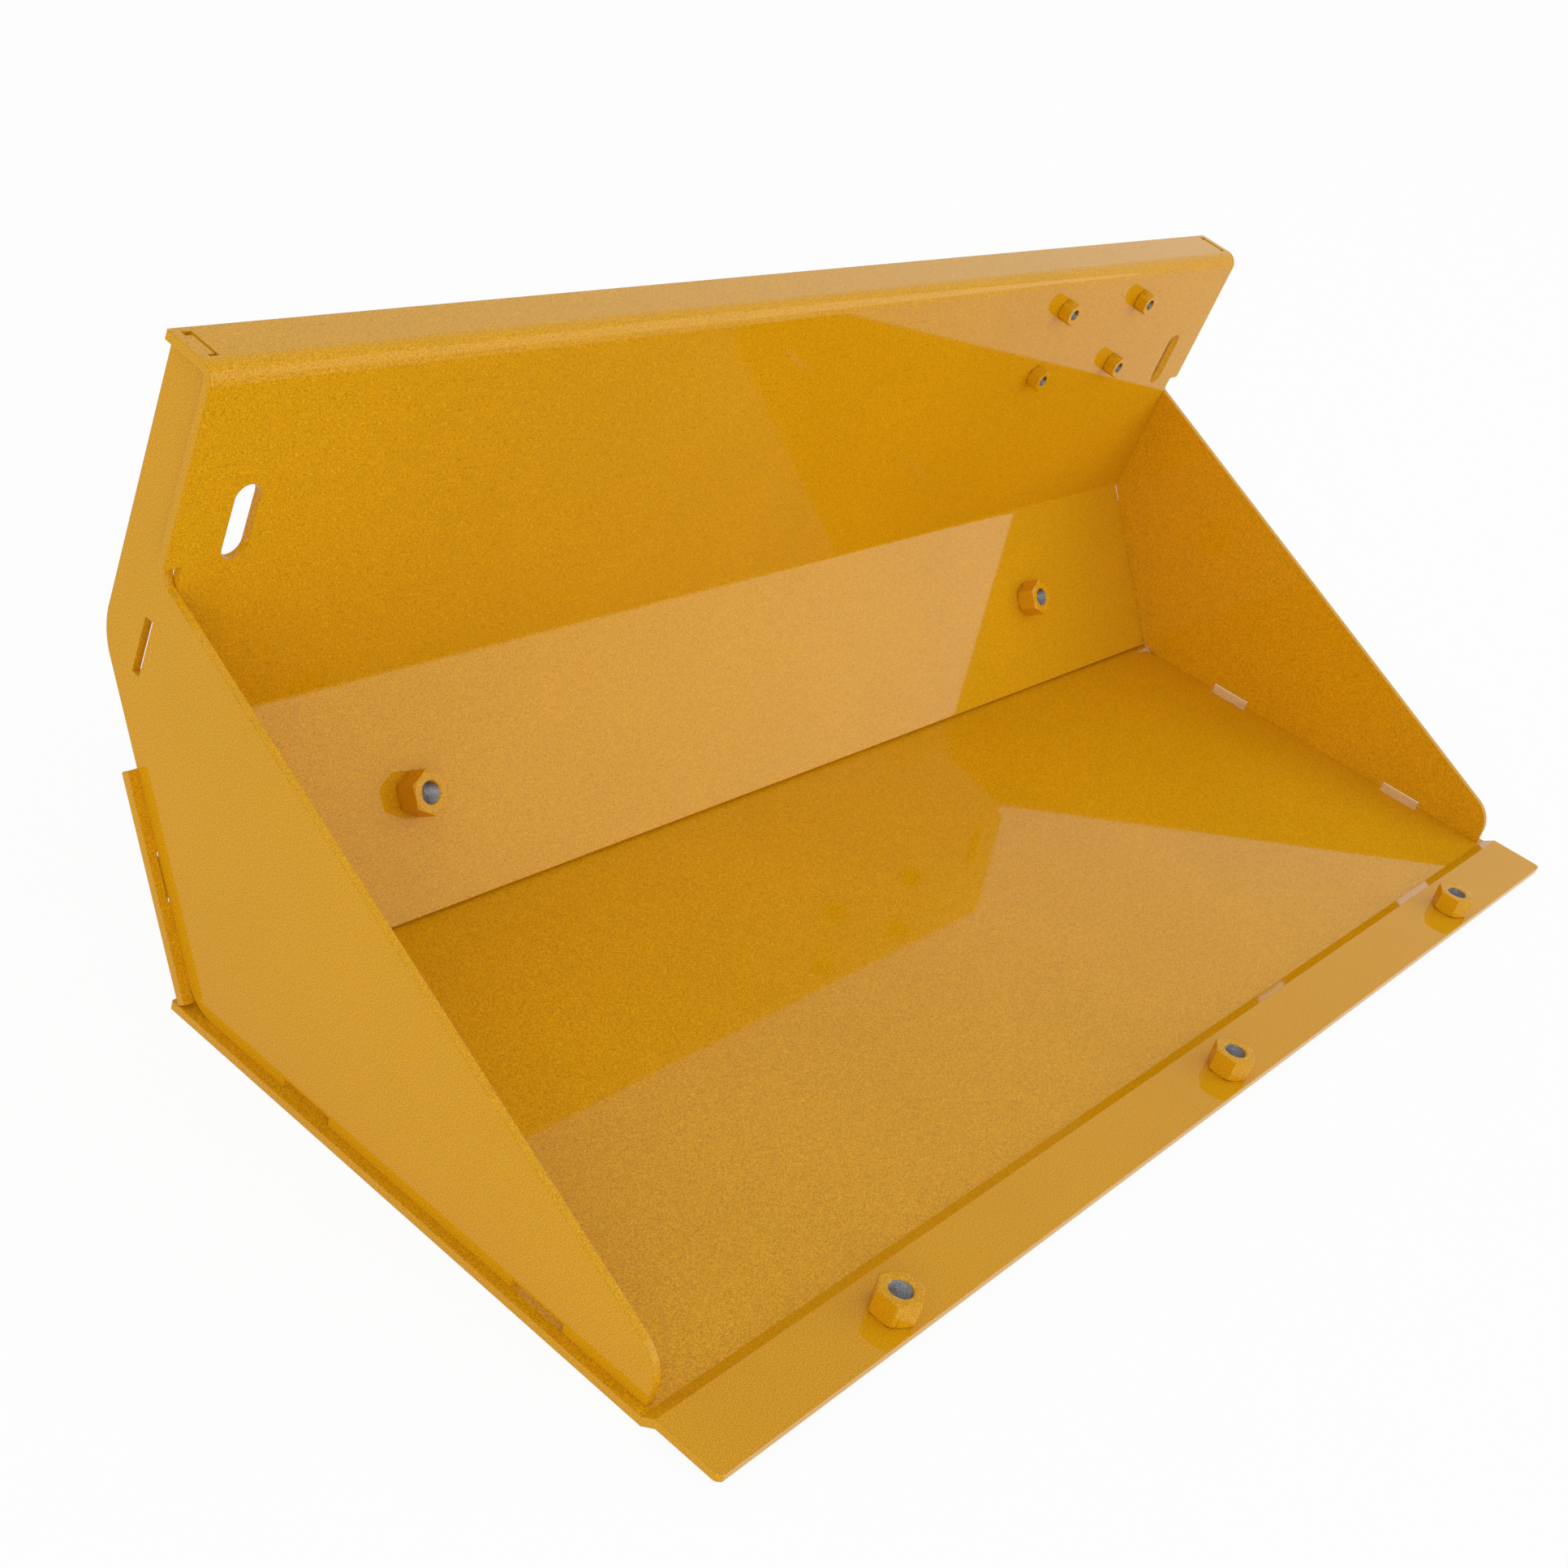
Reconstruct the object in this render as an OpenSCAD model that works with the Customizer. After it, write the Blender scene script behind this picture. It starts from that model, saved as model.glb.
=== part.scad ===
// Open sheet-metal bucket of a small loader: a folded back, a floor with a raised lip, two side plates,
// and hexagon nuts that hold a wear blade and fittings.
// Frame: X to the right, Y to the rear, Z up. The origin is under the middle of the bucket.

/* [Sheet] */
// Thickness of every sheet
sheet = 2.5; // [2:0.1:3]
// Inner radius of every bend
bend_in = 2.5; // [1.5:0.1:3]
// Gap at each side of a tab's thickness, and beside the back where it passes between the side plates
fit_gap = 0.2; // [0.1:0.05:0.4]

/* [Overall] */
// Width over the folded sheets
overall_w = 512; // [510:1:560]
// Width between the side plates
bin_w = 501; // [485:0.5:504.5]
// Depth of the floor sheet, from the lip's front edge to its rear edge
floor_d = 193.5; // [180:0.5:230]

/* [Lip] */
// Depth of the raised lip
lip_d = 20; // [18:0.5:30]
// Run of the joggle between the lip and the floor
joggle_run = 3.8; // [3:0.1:6]
// Radius of the lip's front corners
lip_corner_r = 2; // [0.5:0.1:5]

/* [Corners of the sheets] */
// Radius of the corners that are nearly sharp
corner_r = 0.6; // [0.2:0.1:1]
// Radius of the steps beside the side plates
step_r = 1; // [0.5:0.1:2]

/* [Back] */
// Angle of the lower back panel from the floor
lower_angle = 55.3; // [50:0.1:60]
// Length of the lower back panel, up to the fold
lower_len = 69.8; // [65:0.1:90]
// Distance that the floor sheet reaches behind the foot of the back
floor_behind = 2.85; // [1:0.05:6]
// Angle of the upper panel from the floor
upper_angle = 96.1; // [92:0.1:100]
// Length of the upper panel, from the fold to the top corner
upper_len = 107.3; // [102:0.1:130]
// Length of the top flange, from the top corner
flange_len = 18.2; // [18:0.1:30]
// Height above the fold at which the upper panel widens
wide_from = 52; // [50:0.1:53]
// Depth below the fold at which the ears begin
ear_from = 7.8; // [4:0.1:12]

/* [Slots in the back] */
// Width of the obround slots
obround_w = 8; // [6:0.1:10]
// Height of the obround slots
obround_h = 22; // [16:0.1:26]
// Distance of the obround slots from the middle
obround_x = 235.5; // [200:0.5:236]
// Height of their centres above the fold
obround_up = 62.5; // [58:0.5:66]

/* [Tabs and their slots] */
// Gap at each end of a tab
end_gap = 1.3; // [0.3:0.1:1.5]
// Length of the side plates' top tabs
top_tab_len = 8.5; // [6:0.1:9]
// Distance of their middles behind the top corner
top_tab_at = 11; // [10.6:0.1:11.4]
// Length of the side plates' tabs in the ears
ear_tab_len = 10.9; // [8:0.1:14]
// Depth of their middles below the fold
ear_tab_at = 36.35; // [34:0.05:40]
// Length of the open slots in the side plates, for a sheet laid behind the upper panel
rear_slot_len = 16.6; // [12:0.1:18]
// Height of their middles above the fold
rear_slot_at = 26.2; // [24:0.1:29]

/* [Side plates] */
// Distance of the plates' front end behind the lip's front edge
nose_y = 24.9; // [24:0.1:34]
// Height of the front corner above the floor, before rounding
nose_h = 12.5; // [9:0.1:20]
// Radius of the front corner
nose_r = 12; // [6:0.5:13]
// Angle of the sloping front edge
slope = 24.8; // [22:0.1:26]
// Distance of the rear edge behind the upper panel's front face
arm_d = 18.7; // [17:0.1:20]
// Radius of the rear corner
rear_r = 20; // [12:0.5:22]
// Radius of the hollow corner at the top of the sloping edge
crook_r = 4; // [0.5:0.5:5]
// Radius of the lower rear corner
heel_r = 14; // [2:0.5:16]
// Radius of the upper rear corner
crown_r = 2; // [0.5:0.1:4]
// Height of the two notches in the foot
notch_h = 2.5; // [1.5:0.1:4]
// Length of the notches
notch_len = 17; // [10:0.5:20]
// Places of the notches' middles behind the lip's front edge
notch_at = [60.8, 143.7]; // [50:0.1:150]

/* [Large nuts] */
// Width across flats
big_af = 12; // [11.5:0.1:14]
// Height
big_h = 7.5; // [6:0.1:8]
// Diameter of the threaded bore
big_bore = 6.65; // [6.4:0.05:6.9]
// Diameter of the clearance hole in the sheet
big_hole = 9; // [8.4:0.1:10]
// Distance of the outer lip nuts from the middle
lip_nut_x = 180; // [150:1:200]
// Distance of the lip nuts behind the lip's front edge
lip_nut_y = 8.1; // [8:0.1:12]
// Distance of the nuts on the lower back panel from the middle
back_nut_x = 166; // [120:1:190]
// Their depth below the fold
back_nut_at = 35.5; // [25:0.5:45]

/* [Small nuts] */
// Width across flats
small_af = 7.5; // [7:0.1:8.5]
// Height
small_h = 4.7; // [4:0.1:5.5]
// Diameter of the threaded bore
small_bore = 4.15; // [4:0.05:4.3]
// Diameter of the clearance hole in the sheet
small_hole = 5.5; // [5.2:0.1:6]
// Distance of the nuts' pattern from the middle
pattern_x = 159.7; // [100:0.1:190]
// Height of the pattern's centre above the fold
pattern_up = 79.4; // [70:0.1:85]
// Width and height of the pattern
pattern = [56.5, 27.5]; // [20:0.1:60]

/* [Hidden] */

// Every nut has a flat to the left and a flat to the right
nut_turn = 30;
// The round of a nut's faces as a part of its width across flats
face_part = 0.95;
// Slopes of the corners' chamfers at the nut's outer face and at its seat
face_chamfer = 15;
seat_chamfer = 30;
// The bore's mouth as a part of the bore
bore_mouth = 1.1;

// How far a tab's end stays below the sheet that it passes through
tab_recess = 0.3;
// Round edges and bores
$fn = 96;
// Reach of cutters past what they cut
past = 1;
// An arc's radius as a part of its corner's, so that it crosses the edges and doesn't just touch them
arc_part = 1.002;

coat = "goldenrod";

bend_out = bend_in + sheet;
tab_slot = sheet + 2 * fit_gap;
narrow_w = bin_w - 2 * fit_gap;
plate_x = bin_w / 2;

// Points of the side view: [distance behind the lip's front edge, height]
function along(angle, distance) = distance * [cos(angle), sin(angle)];
function meet(p, a, q, b) = p + along(a, cross(q - p, along(b, 1)) / cross(along(a, 1), along(b, 1)));

heel = [floor_d - floor_behind, sheet];
foot = heel + along(lower_angle + 90, sheet);
fold = foot + along(lower_angle, lower_len);
top = fold + along(upper_angle, upper_len);
panel_rear = fold + along(upper_angle - 90, sheet);
arm_rear = fold + along(upper_angle - 90, arm_d);
flange_under = top + along(upper_angle + 180, sheet);
nose = [nose_y, sheet + nose_h];

// The side plate's corners, each with its radius; a hollow corner's radius is negative
plate_corners = [
    [nose_y, sheet],
    meet(foot, lower_angle, [0, sheet], 0),
    meet(foot, lower_angle, arm_rear, upper_angle),
    meet(arm_rear, upper_angle, flange_under, upper_angle - 90),
    meet(panel_rear, upper_angle, flange_under, upper_angle - 90),
    meet(panel_rear, upper_angle, nose, slope),
    nose
];
plate_radii = [0, heel_r, rear_r, crown_r, bend_in + fit_gap, -crook_r, nose_r];

// The folded back's corners in the upper panel's side view: [distance up from the fold, distance out]
foot_below = along(lower_angle - upper_angle, -lower_len);
heel_below = foot_below + along(lower_angle - upper_angle - 90, sheet);
back_corners = [
    foot_below,
    [0, 0],
    [upper_len, 0],
    [upper_len, -flange_len],
    [upper_len - sheet, -flange_len],
    [upper_len - sheet, -sheet],
    meet([0, -sheet], 0, heel_below, lower_angle - upper_angle),
    heel_below
];
back_radii = [0, -bend_in, bend_out, 0, 0, -bend_in, bend_out, 0];

// The rearmost point is on the side plates' rear corner
rear_centre = corner_centre(plate_corners[1], plate_corners[2], plate_corners[3], rear_r);
overall_d = rear_centre.x + rear_r * arc_part;

// Rounding of a corner b between its neighbours a and c
function unit(v) = v / norm(v);
function corner_turn(a, b, c) = acos(unit(b - a) * unit(c - b));
function corner_reach(a, b, c, r) = r * tan(corner_turn(a, b, c) / 2);
function corner_centre(a, b, c, r) = b + unit(unit(a - b) + unit(c - b)) * r / cos(corner_turn(a, b, c) / 2);
function corner_points(a, b, c, r) = r == 0 ? [b] : [
    b + unit(a - b) * corner_reach(a, b, c, r),
    b + unit(c - b) * corner_reach(a, b, c, r)
];

// An outline with true arcs at its rounded corners; a hollow corner's radius is negative
module rounded(points, radii) {
    n = len(points);
    difference() {
        polygon([
            for (i = [0:n - 1])
                each corner_points(points[(i + n - 1) % n], points[i], points[(i + 1) % n], max(0, -radii[i]))
        ]);
        for (i = [0:n - 1])
            if (radii[i] != 0)
                corner_cut(points[(i + n - 1) % n], points[i], points[(i + 1) % n], radii[i]);
    }
}

// What comes off the corner b to round it, between its neighbours a and c; a hollow one was cut straight
module corner_cut(a, b, c, r) {
    centre = corner_centre(a, b, c, abs(r));
    kite = concat([centre, b], corner_points(a, b, c, abs(r)));
    if (r < 0)
        translate(centre)
            circle(-r * arc_part);
    else
        difference() {
            polygon([for (i = [0, 2, 1, 3]) centre + (kite[i] - centre) * (1 + past / r)]);
            translate(centre)
                circle(r * arc_part);
        }
}

// What comes off a square corner at the origin, whose sheet lies to the left and above, to round it
module corner_trim(r) {
    difference() {
        translate([-r, -past])
            square(r + past);
        translate([-r, r])
            circle(r * arc_part);
    }
}

// An outline that is the same to the left and to the right, from its corners on the right
module symmetric(corners, radii) {
    last = len(corners) - 1;
    rounded(
        concat(corners, [for (i = [last:-1:0]) [-corners[i].x, corners[i].y]]),
        concat(radii, [for (i = [last:-1:0]) radii[i]])
    );
}

// Side view to solid: the outline is drawn across the width w, about the middle
module across(w) {
    translate([-w / 2, 0, 0])
        rotate([90, 0, 90])
            linear_extrude(w)
                children();
}

// Puts the lip's front edge in its place in front of the origin
module in_place() {
    translate([0, -overall_d / 2, 0])
        children();
}

// Frames on the sheets: x to the right, y up the sheet, z out of its face
module on_lower() {
    translate([0, fold.x, fold.y])
        rotate([lower_angle, 0, 0])
            children();
}

module on_upper() {
    translate([0, fold.x, fold.y])
        rotate([upper_angle, 0, 0])
            children();
}

module on_flange() {
    translate([0, top.x, top.y])
        rotate([upper_angle - 90, 0, 0])
            children();
}

// A flat piece of sheet whose face is at z = 0
module flat() {
    translate([0, 0, -sheet])
        linear_extrude(sheet)
            children();
}

module both_sides() {
    children();
    mirror([1, 0, 0])
        children();
}

// An upright slot with round ends, about the middle
module obround(w, h) {
    square([w, h - w], center = true);
    for (side = [-1, 1])
        translate([0, side * (h - w) / 2])
            circle(w / 2);
}

// A cutter through a sheet whose face is at z = 0
module through() {
    translate([0, 0, -sheet - past])
        linear_extrude(sheet + 2 * past)
            children();
}

// What is cut from the right half of the upper panel, apart from the fitting's holes
module upper_cuts() {
    rounded(
        [
            [narrow_w / 2, -sheet],
            [overall_w / 2 + past, -sheet],
            [overall_w / 2 + past, wide_from],
            [narrow_w / 2, wide_from]
        ],
        [0, 0, 0, step_r]
    );
    translate([overall_w / 2, wide_from])
        corner_trim(step_r);
    translate([obround_x, obround_up])
        obround(obround_w, obround_h);
}

// What is cut from the right half of the lower panel
module lower_cuts() {
    rounded(
        [
            [narrow_w / 2, -ear_from],
            [overall_w / 2 + past, -ear_from],
            [overall_w / 2 + past, sheet],
            [narrow_w / 2, sheet]
        ],
        [step_r, 0, 0, 0]
    );
    translate([overall_w / 2, -ear_from])
        mirror([0, 1])
            corner_trim(corner_r);
    translate([overall_w / 2, -lower_len])
        corner_trim(corner_r);
    translate([plate_x + sheet / 2, -ear_tab_at])
        square([tab_slot, ear_tab_len + 2 * end_gap], center = true);
    translate([back_nut_x, -back_nut_at])
        circle(big_hole / 2);
}

// What is cut from the right half of the flange
module flange_cuts() {
    translate([overall_w / 2, flange_len])
        mirror([0, 1])
            corner_trim(corner_r);
    translate([plate_x + sheet / 2, top_tab_at])
        square([tab_slot, top_tab_len + 2 * end_gap], center = true);
}

module fitting_holes() {
    for (out = [-1, 1])
        for (up = [-1, 1])
            translate([pattern_x + out * pattern.x / 2, pattern_up + up * pattern.y / 2])
                circle(small_hole / 2);
}

module back_panel() {
    color(coat)
        in_place()
            difference() {
                on_upper()
                    across(overall_w)
                        rounded(back_corners, back_radii);
                on_upper()
                    through() {
                        both_sides()
                            upper_cuts();
                        fitting_holes();
                    }
                on_lower()
                    through()
                        both_sides()
                            lower_cuts();
                on_flange()
                    through()
                        both_sides()
                            flange_cuts();
            }
}

module floor_panel() {
    // The joggle keeps the sheet's thickness, so its lower corners lie forward of its upper ones
    shift = sheet * tan(atan(sheet / joggle_run) / 2);
    color(coat)
        in_place()
            difference() {
                intersection() {
                    across(overall_w)
                        polygon([
                            [0, sheet],
                            [lip_d - shift, sheet],
                            [lip_d + joggle_run - shift, 0],
                            [floor_d, 0],
                            [floor_d, sheet],
                            [lip_d + joggle_run, sheet],
                            [lip_d, 2 * sheet],
                            [0, 2 * sheet]
                        ]);
                    linear_extrude(2 * sheet)
                        symmetric([[overall_w / 2, 0], [overall_w / 2, floor_d]], [lip_corner_r, corner_r]);
                }
                for (x = [-lip_nut_x, 0, lip_nut_x])
                    translate([x, lip_nut_y, -past])
                        cylinder(d = big_hole, h = 2 * (sheet + past));
            }
}

module side_plate() {
    color(coat)
        in_place()
            difference() {
                translate([plate_x + sheet / 2, 0, 0])
                    across(sheet) {
                        rounded(plate_corners, plate_radii);
                        top_tab_outline();
                        ear_tab_outline();
                    }
                on_upper()
                    translate([plate_x + sheet / 2, rear_slot_at, -sheet - sheet / 2])
                        cube([sheet + 2 * past, rear_slot_len, tab_slot], center = true);
                for (y = notch_at)
                    translate([plate_x - past, y - notch_len / 2, 0])
                        cube([sheet + 2 * past, notch_len, sheet + notch_h]);
            }
}

// The tabs' outlines lie in the side view and start inside the plate
module top_tab_outline() {
    translate(flange_under)
        rotate(upper_angle - 90)
            translate([top_tab_at - top_tab_len / 2, -past])
                square([top_tab_len, sheet - tab_recess + past]);
}

module ear_tab_outline() {
    translate(fold)
        rotate(lower_angle)
            translate([-ear_tab_at - ear_tab_len / 2, -sheet + tab_recess])
                square([ear_tab_len, sheet - tab_recess + past]);
}

module side_plate_right() {
    side_plate();
}

module side_plate_left() {
    mirror([1, 0, 0])
        side_plate();
}

// A hexagon nut that stands on z = 0, with chamfered corners and a countersunk bore
module hex_nut(af, h, bore) {
    corner_reach = af / sqrt(3);
    face_r = face_part * af / 2;
    seat_drop = (corner_reach - face_r) * tan(seat_chamfer);
    face_drop = (corner_reach - face_r) * tan(face_chamfer);
    sink = (bore_mouth - 1) * bore / 2;
    color(coat)
        difference() {
            intersection() {
                rotate(nut_turn)
                    cylinder(r = corner_reach, h = h, $fn = 6);
                rotate_extrude()
                    polygon([
                        [0, 0],
                        [face_r, 0],
                        [corner_reach, seat_drop],
                        [corner_reach, h - face_drop],
                        [face_r, h],
                        [0, h]
                    ]);
            }
            translate([0, 0, -past])
                cylinder(d = bore, h = h + 2 * past);
            cylinder(d1 = bore * bore_mouth, d2 = bore, h = sink);
            translate([0, 0, h - sink])
                cylinder(d1 = bore, d2 = bore * bore_mouth, h = sink);
        }
}

module lip_nut(x) {
    in_place()
        translate([x, lip_nut_y, 2 * sheet])
            hex_nut(big_af, big_h, big_bore);
}

module back_nut(x) {
    in_place()
        on_lower()
            translate([x, -back_nut_at, 0])
                hex_nut(big_af, big_h, big_bore);
}

module fitting_nut(out, up) {
    in_place()
        on_upper()
            translate([pattern_x + out * pattern.x / 2, pattern_up + up * pattern.y / 2, 0])
                hex_nut(small_af, small_h, small_bore);
}

module lip_nut_left() { lip_nut(-lip_nut_x); }
module lip_nut_middle() { lip_nut(0); }
module lip_nut_right() { lip_nut(lip_nut_x); }
module back_nut_left() { back_nut(-back_nut_x); }
module back_nut_right() { back_nut(back_nut_x); }
module fitting_nut_top_inner() { fitting_nut(-1, 1); }
module fitting_nut_top_outer() { fitting_nut(1, 1); }
module fitting_nut_low_inner() { fitting_nut(-1, -1); }
module fitting_nut_low_outer() { fitting_nut(1, -1); }

back_panel();
floor_panel();
side_plate_left();
side_plate_right();
lip_nut_left();
lip_nut_middle();
lip_nut_right();
back_nut_left();
back_nut_right();
fitting_nut_top_inner();
fitting_nut_top_outer();
fitting_nut_low_inner();
fitting_nut_low_outer();
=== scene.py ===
import bmesh
import bpy
import math
from mathutils import Matrix, Vector


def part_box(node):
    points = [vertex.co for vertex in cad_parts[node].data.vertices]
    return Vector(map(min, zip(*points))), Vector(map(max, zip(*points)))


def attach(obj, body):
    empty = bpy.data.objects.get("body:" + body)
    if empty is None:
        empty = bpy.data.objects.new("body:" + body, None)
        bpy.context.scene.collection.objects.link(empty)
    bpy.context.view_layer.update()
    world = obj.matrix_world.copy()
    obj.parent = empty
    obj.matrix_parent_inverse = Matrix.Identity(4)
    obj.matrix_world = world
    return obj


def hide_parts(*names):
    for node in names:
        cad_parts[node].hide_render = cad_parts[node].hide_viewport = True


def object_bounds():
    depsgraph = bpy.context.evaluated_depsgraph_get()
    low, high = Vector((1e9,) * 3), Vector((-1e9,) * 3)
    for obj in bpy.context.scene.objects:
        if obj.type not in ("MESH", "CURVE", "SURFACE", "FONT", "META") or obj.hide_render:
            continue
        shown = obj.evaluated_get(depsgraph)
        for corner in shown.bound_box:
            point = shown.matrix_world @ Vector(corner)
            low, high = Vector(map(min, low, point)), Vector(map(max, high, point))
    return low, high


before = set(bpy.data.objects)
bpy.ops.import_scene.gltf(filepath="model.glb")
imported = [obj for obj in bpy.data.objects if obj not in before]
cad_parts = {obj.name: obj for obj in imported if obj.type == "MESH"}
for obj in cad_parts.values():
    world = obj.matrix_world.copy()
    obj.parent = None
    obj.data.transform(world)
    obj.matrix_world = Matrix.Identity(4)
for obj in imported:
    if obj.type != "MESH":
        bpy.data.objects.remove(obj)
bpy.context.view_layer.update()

# ---------------------------------------------------------------- sizes, in metres

BORE = {"big": 3.325e-3, "small": 2.075e-3}      # crest radius of the threads
THREAD = {"big": (0.55e-3, 0.30e-3), "small": (0.42e-3, 0.22e-3)}      # pitch and depth
THREAD_AROUND = 64      # facets round a thread
THREAD_ALONG = 8      # rings in each pitch
GROOVE_HALF = 0.44      # half of a groove's width as a part of the pitch
SHEET_EDGE = 0.45e-3      # rounding of the sheets' edges in the material
NUT_EDGE = 0.12e-3      # the same on the nuts
TILT = {"lip": 0.0, "lower": 55.3, "upper": 96.1}      # degrees of each sheet from the floor
NUTS = {
    "lip_nut_left": ("big", "lip"),
    "lip_nut_middle": ("big", "lip"),
    "lip_nut_right": ("big", "lip"),
    "back_nut_left": ("big", "lower"),
    "back_nut_right": ("big", "lower"),
    "fitting_nut_top_inner": ("small", "upper"),
    "fitting_nut_top_outer": ("small", "upper"),
    "fitting_nut_low_inner": ("small", "upper"),
    "fitting_nut_low_outer": ("small", "upper"),
}
SHEETS = ["back_panel", "floor_panel", "side_plate_left", "side_plate_right"]

# ---------------------------------------------------------------- colours and grain

COAT_DARK = (0.470, 0.218, 0.0026)
COAT_LIGHT = (0.895, 0.441, 0.0064)
COAT_IOR = 1.27
COAT_GRAIN = 3000.0      # scale of each noise, per metre
COAT_BROAD = 14.0
COAT_PEEL = 420.0
STEEL_DARK = (0.13, 0.125, 0.13)
STEEL_LIGHT = (0.44, 0.43, 0.44)
STEEL_MARKS = 2600.0
FLOOR_DARK = (0.88, 0.88, 0.88)
FLOOR_LIGHT = (0.92, 0.92, 0.92)
FLOOR_MOTTLE = 30.0

# ---------------------------------------------------------------- light

FLOOR_WHITE = 0.94      # share of plain white in what the camera sees of the floor
FLOOR_SIZE = 15.0
FLOOR_GAP = 2e-4      # below the part, so that no faces coincide
WORLD_LIGHT = 0.745
LAMP_TARGET = (0, 0, 0.05)
LAMPS = {      # place, size and power
    "key": ((-2.15, -1.6, 0.5), 2.2, 25.0),
    "fill": ((1.8, -1.6, 1.0), 1.6, 11.0),
}

# ---------------------------------------------------------------- camera

LENS = 50.335
SENSOR = 36.0
EYE = Vector((-0.5751, -0.2674, 0.3639))
AHEAD = Vector((0.75798, 0.44234, -0.47938)).normalized()
RIGHT = Vector((0.60975, -0.74154, 0.27988))
SHIFT_X = 0.0
SHIFT_Y = 0.0


def add_camera():
    right = (RIGHT - AHEAD * RIGHT.dot(AHEAD)).normalized()
    up = right.cross(AHEAD)
    data = bpy.data.cameras.new("photo_camera")
    data.sensor_fit = "AUTO"
    data.sensor_width = SENSOR
    data.lens = LENS
    data.shift_x = SHIFT_X
    data.shift_y = SHIFT_Y
    data.clip_start = 0.01
    data.clip_end = 100.0
    camera = bpy.data.objects.new("photo_camera", data)
    turn = Matrix((right, up, -AHEAD)).transposed()
    camera.matrix_world = Matrix.Translation(EYE) @ turn.to_4x4()
    bpy.context.scene.collection.objects.link(camera)
    bpy.context.scene.camera = camera
    return camera


# ---------------------------------------------------------------- materials

class Graph:
    """A short way to write a node material."""

    def __init__(self, name):
        self.material = bpy.data.materials.new(name)
        self.material.use_nodes = True
        self.tree = self.material.node_tree
        self.tree.nodes.clear()
        self.out = self.add("ShaderNodeOutputMaterial")

    def add(self, kind, **settings):
        node = self.tree.nodes.new(kind)
        for key, value in settings.items():
            setattr(node, key, value)
        return node

    def join(self, source, output, target, socket):
        self.tree.links.new(source.outputs[output], target.inputs[socket])

    def noise(self, coords, scale, detail=2.0, roughness=0.5):
        node = self.add("ShaderNodeTexNoise")
        node.inputs["Scale"].default_value = scale
        node.inputs["Detail"].default_value = detail
        node.inputs["Roughness"].default_value = roughness
        self.join(coords, "Object", node, "Vector")
        return node

    def ramp(self, source, low, dark, high, light):
        """A colour that runs from dark at low to light at high of the source's Fac."""
        node = self.add("ShaderNodeValToRGB")
        for element, position, colour in zip(node.color_ramp.elements, (low, high), (dark, light)):
            element.position = position
            element.color = (*colour, 1)
        self.join(source, "Fac", node, "Fac")
        return node

    def span(self, source, output, low, high, to_low, to_high):
        node = self.add("ShaderNodeMapRange")
        node.inputs["From Min"].default_value = low
        node.inputs["From Max"].default_value = high
        node.inputs["To Min"].default_value = to_low
        node.inputs["To Max"].default_value = to_high
        self.join(source, output, node, "Value")
        return node


def seen_rays(tree):
    """An output that is 1 for rays from the camera, in gloss and through glass."""
    path = tree.nodes.new("ShaderNodeLightPath")
    seen = path.outputs["Is Camera Ray"]
    for ray in ("Is Glossy Ray", "Is Transmission Ray"):
        larger = tree.nodes.new("ShaderNodeMath")
        larger.operation = "MAXIMUM"
        tree.links.new(seen, larger.inputs[0])
        tree.links.new(path.outputs[ray], larger.inputs[1])
        seen = larger.outputs[0]
    return seen


def coat_material(name, edge):
    """Gloss powder coat: a golden colour with fine grain and a smooth, very slightly rippled skin."""
    g = Graph(name)
    coords = g.add("ShaderNodeTexCoord")
    shader = g.add("ShaderNodeBsdfPrincipled")
    grain = g.noise(coords, COAT_GRAIN, 2.0, 0.6)
    broad = g.noise(coords, COAT_BROAD, 3.0)
    ramp = g.ramp(grain, 0.34, COAT_DARK, 0.66, COAT_LIGHT)
    tone = g.add("ShaderNodeHueSaturation")
    g.join(g.span(broad, "Fac", 0.3, 0.7, 0.97, 1.03), "Result", tone, "Value")
    g.join(ramp, "Color", tone, "Color")
    g.join(tone, "Color", shader, "Base Color")
    g.join(g.span(grain, "Fac", 0.3, 0.7, 0.025, 0.06), "Result", shader, "Roughness")
    shader.inputs["IOR"].default_value = COAT_IOR
    rounding = g.add("ShaderNodeBevel", samples=6)
    rounding.inputs["Radius"].default_value = edge
    peel = g.noise(coords, COAT_PEEL, 2.0)
    ripple = g.add("ShaderNodeBump")
    ripple.inputs["Strength"].default_value = 0.06
    ripple.inputs["Distance"].default_value = 1e-5
    g.join(peel, "Fac", ripple, "Height")
    g.join(rounding, "Normal", ripple, "Normal")
    g.join(ripple, "Normal", shader, "Normal")
    g.join(shader, "BSDF", g.out, "Surface")
    return g.material


def thread_material():
    """Bare cut steel with fine turning marks."""
    g = Graph("bare_thread")
    coords = g.add("ShaderNodeTexCoord")
    shader = g.add("ShaderNodeBsdfPrincipled")
    shader.inputs["Metallic"].default_value = 1.0
    marks = g.noise(coords, STEEL_MARKS, 3.0, 0.6)
    ramp = g.ramp(marks, 0.3, STEEL_DARK, 0.7, STEEL_LIGHT)
    g.join(ramp, "Color", shader, "Base Color")
    g.join(g.span(marks, "Fac", 0.3, 0.7, 0.28, 0.5), "Result", shader, "Roughness")
    g.join(shader, "BSDF", g.out, "Surface")
    return g.material


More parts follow.
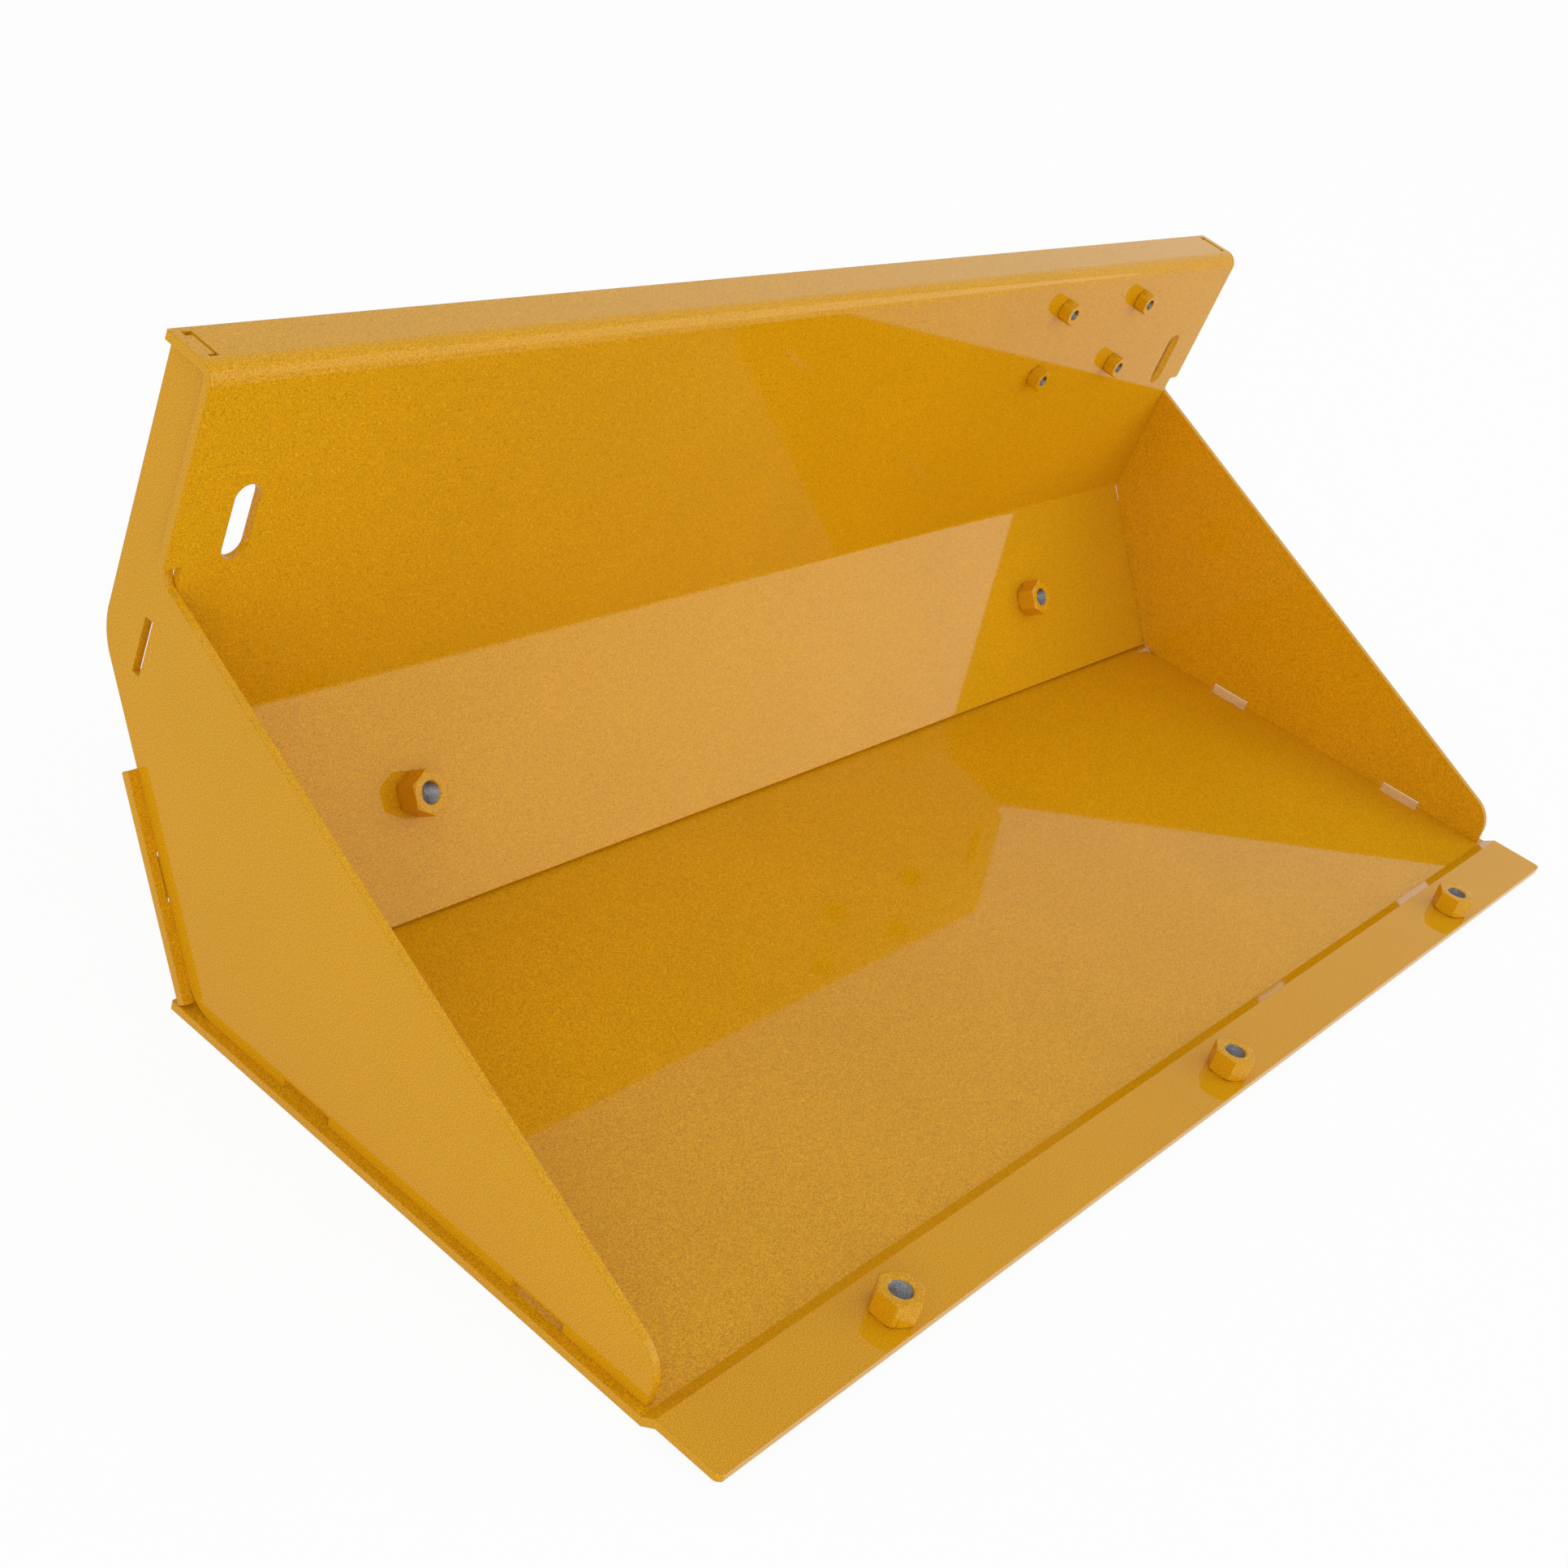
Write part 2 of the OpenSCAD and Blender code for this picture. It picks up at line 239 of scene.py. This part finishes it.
def floor_material():
    """Plain pale floor: near white to the camera and in reflections, with a light shadow left in it."""
    g = Graph("pale_floor")
    coords = g.add("ShaderNodeTexCoord")
    diffuse = g.add("ShaderNodeBsdfDiffuse")
    ramp = g.ramp(g.noise(coords, FLOOR_MOTTLE), 0.0, FLOOR_DARK, 1.0, FLOOR_LIGHT)
    g.join(ramp, "Color", diffuse, "Color")
    white = g.add("ShaderNodeEmission")
    white.inputs["Strength"].default_value = 1.0
    share = g.add("ShaderNodeMath", operation="MULTIPLY")
    share.inputs[1].default_value = FLOOR_WHITE
    g.tree.links.new(seen_rays(g.tree), share.inputs[0])
    mix = g.add("ShaderNodeMixShader")
    g.join(share, "Value", mix, 0)
    g.join(diffuse, "BSDF", mix, 1)
    g.join(white, "Emission", mix, 2)
    g.join(mix, "Shader", g.out, "Surface")
    return g.material


coat = coat_material("golden_coat", SHEET_EDGE)
nut_coat = coat_material("golden_coat_on_nuts", NUT_EDGE)
steel = thread_material()


def dress(piece, material):
    piece.data.materials.clear()
    piece.data.materials.append(material)


# ---------------------------------------------------------------- nuts with cut threads

def nut_frame(node, sheet):
    """The nut's axes: x right, y up its sheet, z out of it, from the middle of its box."""
    low, high = (Vector(v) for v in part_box(node))
    return Matrix.Translation((low + high) / 2) @ Matrix.Rotation(math.radians(TILT[sheet]), 4, "X")


def new_object(name, mesh):
    piece = bpy.data.objects.new(name, mesh)
    bpy.context.scene.collection.objects.link(piece)
    return piece


def nut_body(node, size, place):
    """The CAD nut without its plain bore wall, which the cut thread replaces."""
    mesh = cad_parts[node].data.copy()
    mesh.name = node + "_body"
    bm = bmesh.new()
    bm.from_mesh(mesh)
    bmesh.ops.remove_doubles(bm, verts=bm.verts, dist=1e-6)
    inverse = place.inverted()
    reach = BORE[size] * 1.01
    wall = [f for f in bm.faces if all((inverse @ v.co).xy.length < reach for v in f.verts)]
    rim = sorted({round((inverse @ v.co).z, 6) for f in wall for v in f.verts})
    bmesh.ops.delete(bm, geom=wall, context="FACES")
    bm.to_mesh(mesh)
    bm.free()
    piece = new_object(node + "_body", mesh)
    dress(piece, nut_coat)
    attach(piece, "root")
    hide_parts(node)
    return piece, rim[0], rim[-1]


def cut_thread(node, size, place, low, high):
    """A helical groove from low to high along the nut's axis, fading out at both mouths."""
    pitch, depth = THREAD[size]
    crest = BORE[size]
    around, along = THREAD_AROUND, int((high - low) / pitch * THREAD_ALONG)
    bm = bmesh.new()
    rings = []
    for j in range(along + 1):
        z = low + (high - low) * j / along
        fade = min(1.0, 2.0 * min(z - low, high - z) / pitch)
        ring = []
        for i in range(around):
            turn = 2 * math.pi * i / around
            phase = (z / pitch - i / around) % 1.0
            groove = max(0.0, 1.0 - abs(phase - 0.5) / GROOVE_HALF) ** 0.8
            r = crest + depth * groove * fade
            ring.append(bm.verts.new(place @ Vector((r * math.cos(turn), r * math.sin(turn), z))))
        rings.append(ring)
    for a, b in zip(rings, rings[1:]):
        for i in range(around):
            k = (i + 1) % around
            face = bm.faces.new((a[i], b[i], b[k], a[k]))
            face.smooth = True
    mesh = bpy.data.meshes.new(node + "_thread")
    bm.to_mesh(mesh)
    bm.free()
    piece = new_object(node + "_thread", mesh)
    dress(piece, steel)
    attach(piece, "root")
    return piece


for node in SHEETS:
    dress(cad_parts[node], coat)
for node, (size, sheet) in NUTS.items():
    place = nut_frame(node, sheet)
    body, low, high = nut_body(node, size, place)
    cut_thread(node, size, place, low, high)

# ---------------------------------------------------------------- studio

def add_floor():
    bm = bmesh.new()
    bmesh.ops.create_grid(bm, x_segments=8, y_segments=8, size=FLOOR_SIZE)
    mesh = bpy.data.meshes.new("studio_floor")
    bm.to_mesh(mesh)
    bm.free()
    floor = new_object("studio_floor", mesh)
    floor.location = (0, 0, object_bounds()[0][2] - FLOOR_GAP)
    dress(floor, floor_material())


def add_lamp(name, place, size, power):
    data = bpy.data.lights.new(name, "AREA")
    data.shape = "SQUARE"
    data.size = size
    data.energy = power
    lamp = bpy.data.objects.new(name, data)
    lamp.location = place
    aim = Vector(LAMP_TARGET) - Vector(place)
    lamp.rotation_euler = aim.to_track_quat("-Z", "Y").to_euler()
    bpy.context.scene.collection.objects.link(lamp)


def add_world():
    world = bpy.data.worlds.new("studio_world")
    world.use_nodes = True
    tree = world.node_tree
    tree.nodes.clear()
    light = tree.nodes.new("ShaderNodeBackground")
    light.inputs["Strength"].default_value = WORLD_LIGHT
    white = tree.nodes.new("ShaderNodeBackground")
    white.inputs["Strength"].default_value = 1.0
    for node in (light, white):
        node.inputs["Color"].default_value = (1, 1, 1, 1)
    mix = tree.nodes.new("ShaderNodeMixShader")
    tree.links.new(seen_rays(tree), mix.inputs[0])
    tree.links.new(light.outputs[0], mix.inputs[1])
    tree.links.new(white.outputs[0], mix.inputs[2])
    out = tree.nodes.new("ShaderNodeOutputWorld")
    tree.links.new(mix.outputs[0], out.inputs["Surface"])
    bpy.context.scene.world = world


add_floor()
for name, (place, size, power) in LAMPS.items():
    add_lamp(name, place, size, power)
add_world()
camera = add_camera()
bpy.context.scene.view_settings.view_transform = "Standard"

bpy.context.view_layer.update()
